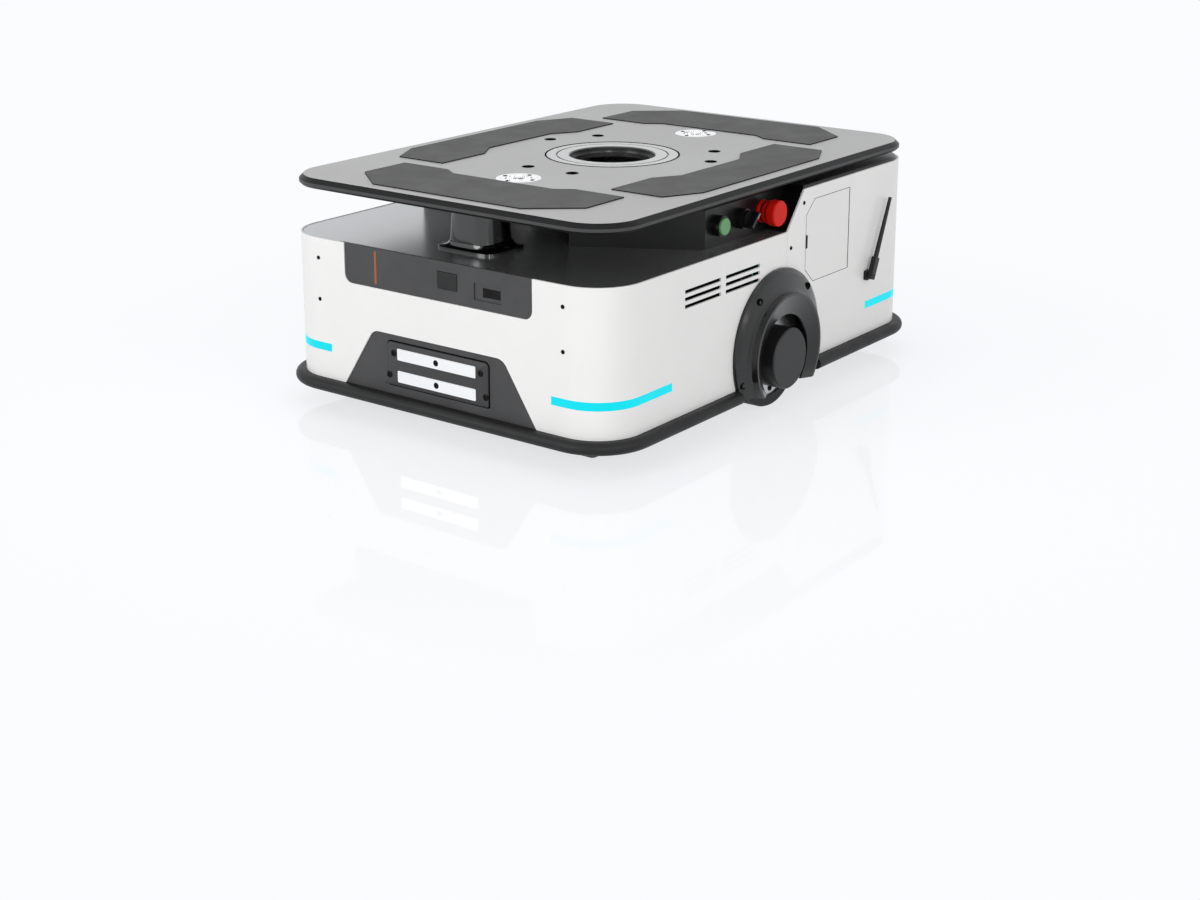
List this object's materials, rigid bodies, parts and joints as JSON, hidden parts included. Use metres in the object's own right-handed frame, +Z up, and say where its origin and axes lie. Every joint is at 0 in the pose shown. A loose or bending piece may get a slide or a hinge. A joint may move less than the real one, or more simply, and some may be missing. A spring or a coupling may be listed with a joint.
{
  "type": "autonomous mobile robot",
  "caption": "Low mobile robot base with a lifting platform, two drive wheels, swivel casters, a laser scanner in a front recess, side controls, charging contacts and rubber bumpers.",
  "frame": {"origin": "on the floor below the middle of the platform, between the drive wheels", "axes": "+X to the front with the scanner and charging contacts, +Y to the robot's left with the controls and the antenna, +Z up"},
  "size_m": [0.952, 0.726, 0.387],
  "materials": {
    "battery_case": "battery housing",
    "belt_rubber": "toothed belt",
    "black_plastic": "fine-textured moulding",
    "bronze": "bearing bronze",
    "bumper_rubber": "matt rubber",
    "button_green": "green lens",
    "caster_rubber": "solid caster tyre",
    "contact_metal": "plated contact bar",
    "dark_cover": "dark grey moulding",
    "dark_panel": "textured panel",
    "deck_coat": "grey powder coat",
    "estop_red": "red mushroom",
    "frame_steel": "black powder coat",
    "light_amber": "lit window",
    "light_cyan": "lit diffuser",
    "motor_metal": "anodised housing",
    "pad_rubber": "grey rubber",
    "platform_metal": "bead-blasted and anodised",
    "polished_steel": "ground steel",
    "rim_metal": "machined rim",
    "ring_metal": "turned and anodised",
    "scanner_black": "dark scanner housing",
    "tyre_rubber": "solid polyurethane tyre",
    "white_shell": "satin moulded shell",
    "zinc_steel": "zinc-plated steel"
  },
  "bodies": {
    "base": {"front_skin": "white_shell", "rear_skin": "white_shell", "corner_lights": "light_cyan", "bumpers": "bumper_rubber", "wheel_cover_left": "dark_cover", "wheel_cover_right": "dark_cover", "front_panel": "dark_panel", "status_strip": "light_amber", "charge_panel": "dark_panel", "contact_plate": "black_plastic", "charge_contacts": "contact_metal", "base_tray": "frame_steel", "drive_brackets": "frame_steel", "drive_gearmotors": "motor_metal", "caster_plates": "zinc_steel", "front_deck": "deck_coat", "upper_cover": "black_plastic", "laser_scanner": "scanner_black", "caster_pods": "frame_steel", "charging_socket": "black_plastic", "control_collars": "black_plastic", "service_bay": "black_plastic", "antenna_foot": "black_plastic", "lift_frame": "frame_steel", "lift_bearings": "bronze", "lift_belt": "belt_rubber", "lift_motor": "motor_metal", "camera": "motor_metal", "battery": "battery_case", "controller": "motor_metal"},
    "lift_platform": {"platform": "platform_metal", "centre_ring": "ring_metal", "locating_flanges": "polished_steel", "rubber_pads": "pad_rubber", "lift_columns": "polished_steel"},
    "screw_left": {"lead_screw_left": "polished_steel"},
    "screw_right": {"lead_screw_right": "polished_steel"},
    "pulley_drive": {"motor_pulley": "zinc_steel"},
    "drive_wheel_left": {"tyre_left": "tyre_rubber", "wheel_hub_left": "rim_metal", "hub_cap_left": "dark_cover"},
    "drive_wheel_right": {"tyre_right": "tyre_rubber", "wheel_hub_right": "rim_metal", "hub_cap_right": "dark_cover"},
    "button_start": {"start_button": "button_green"},
    "knob_selector": {"selector_knob": "black_plastic"},
    "estop_plunger": {"estop_stem": "black_plastic"},
    "estop_mushroom": {"estop_head": "estop_red"},
    "door_access": {"access_door": "white_shell"},
    "antenna_rod": {"antenna": "black_plastic"},
    "rocker_power": {"power_rocker": "black_plastic"},
    "flap_socket": {"socket_flap": "black_plastic"},
    "caster_swivel_front_left": {"caster_fork_front_left": "zinc_steel"},
    "caster_roller_front_left": {"caster_wheel_front_left": "caster_rubber"},
    "caster_swivel_front_right": {"caster_fork_front_right": "zinc_steel"},
    "caster_roller_front_right": {"caster_wheel_front_right": "caster_rubber"},
    "caster_swivel_rear_left": {"caster_fork_rear_left": "zinc_steel"},
    "caster_roller_rear_left": {"caster_wheel_rear_left": "caster_rubber"},
    "caster_swivel_rear_right": {"caster_fork_rear_right": "zinc_steel"},
    "caster_roller_rear_right": {"caster_wheel_rear_right": "caster_rubber"}
  },
  "joints": [
    {"name": "platform_lift", "type": "slide", "parent": "base", "child": "lift_platform", "axis": [0, 0, 1], "range_m": [0, 0.06]},
    {"name": "screw_turn_left", "type": "hinge", "parent": "base", "child": "screw_left", "pos_m": [-0.045, 0.13, 0.25], "axis": [0, 0, 1], "range_deg": [0, 1081]},
    {"name": "screw_turn_right", "type": "hinge", "parent": "base", "child": "screw_right", "pos_m": [-0.045, -0.13, 0.25], "axis": [0, 0, 1], "range_deg": [0, 1081]},
    {"name": "motor_pulley_turn", "type": "hinge", "parent": "base", "child": "pulley_drive", "pos_m": [0.025, 0, 0.2], "axis": [0, 0, 1], "range_deg": [0, 1081]},
    {"name": "drive_left", "type": "hinge", "parent": "base", "child": "drive_wheel_left", "pos_m": [0, 0.3, 0.0875], "axis": [0, 1, 0], "continuous": true},
    {"name": "drive_right", "type": "hinge", "parent": "base", "child": "drive_wheel_right", "pos_m": [0, -0.3, 0.0875], "axis": [0, 1, 0], "continuous": true},
    {"name": "swivel_front_left", "type": "hinge", "parent": "base", "child": "caster_swivel_front_left", "pos_m": [0.35, 0.24, 0.09], "axis": [0, 0, 1], "continuous": true},
    {"name": "roll_front_left", "type": "hinge", "parent": "caster_swivel_front_left", "child": "caster_roller_front_left", "pos_m": [0.375, 0.24, 0.0375], "axis": [0, 1, 0], "continuous": true},
    {"name": "swivel_front_right", "type": "hinge", "parent": "base", "child": "caster_swivel_front_right", "pos_m": [0.35, -0.24, 0.09], "axis": [0, 0, 1], "continuous": true},
    {"name": "roll_front_right", "type": "hinge", "parent": "caster_swivel_front_right", "child": "caster_roller_front_right", "pos_m": [0.375, -0.24, 0.0375], "axis": [0, 1, 0], "continuous": true},
    {"name": "swivel_rear_left", "type": "hinge", "parent": "base", "child": "caster_swivel_rear_left", "pos_m": [-0.35, 0.24, 0.09], "axis": [0, 0, 1], "continuous": true},
    {"name": "roll_rear_left", "type": "hinge", "parent": "caster_swivel_rear_left", "child": "caster_roller_rear_left", "pos_m": [-0.325, 0.24, 0.0375], "axis": [0, 1, 0], "continuous": true},
    {"name": "swivel_rear_right", "type": "hinge", "parent": "base", "child": "caster_swivel_rear_right", "pos_m": [-0.35, -0.24, 0.09], "axis": [0, 0, 1], "continuous": true},
    {"name": "roll_rear_right", "type": "hinge", "parent": "caster_swivel_rear_right", "child": "caster_roller_rear_right", "pos_m": [-0.325, -0.24, 0.0375], "axis": [0, 1, 0], "continuous": true},
    {"name": "start_press", "type": "slide", "parent": "base", "child": "button_start", "axis": [0, -1, 0], "range_m": [0, 0.004], "stiffness_N_per_m": 600, "springref_m": -0.002},
    {"name": "selector_turn", "type": "hinge", "parent": "base", "child": "knob_selector", "pos_m": [0.053, 0.31, 0.323], "axis": [0, 1, 0], "range_deg": [0, 90]},
    {"name": "estop_press", "type": "slide", "parent": "base", "child": "estop_plunger", "axis": [0, -1, 0], "range_m": [0, 0.005]},
    {"name": "estop_release_twist", "type": "hinge", "parent": "estop_plunger", "child": "estop_mushroom", "pos_m": [-0.013, 0.32, 0.323], "axis": [0, -1, 0], "range_deg": [0, 45], "stiffness_Nm_per_rad": 0.1, "springref_deg": -11.46},
    {"name": "door_swing", "type": "hinge", "parent": "base", "child": "door_access", "pos_m": [-0.2275, 0.3325, 0.261], "axis": [0, 0, 1], "range_deg": [0, 100]},
    {"name": "antenna_tilt", "type": "hinge", "parent": "base", "child": "antenna_rod", "pos_m": [-0.296, 0.345, 0.164], "axis": [0, 1, 0], "range_deg": [-66, 24]},
    {"name": "power_rock", "type": "hinge", "parent": "base", "child": "rocker_power", "pos_m": [0.4518, 0.112, 0.253], "axis": [0, 0, 1], "range_deg": [-8, 0]},
    {"name": "flap_swing", "type": "hinge", "parent": "base", "child": "flap_socket", "pos_m": [0.4556, 0.0245, 0.2715], "axis": [0, -1, 0], "range_deg": [0, 100]}
  ],
  "couplings": [
    {"joint": "screw_turn_left", "follows": "platform_lift", "rad_per_m": 314.16},
    {"joint": "screw_turn_right", "follows": "platform_lift", "rad_per_m": 314.16},
    {"joint": "motor_pulley_turn", "follows": "platform_lift", "rad_per_m": 314.16}
  ]
}
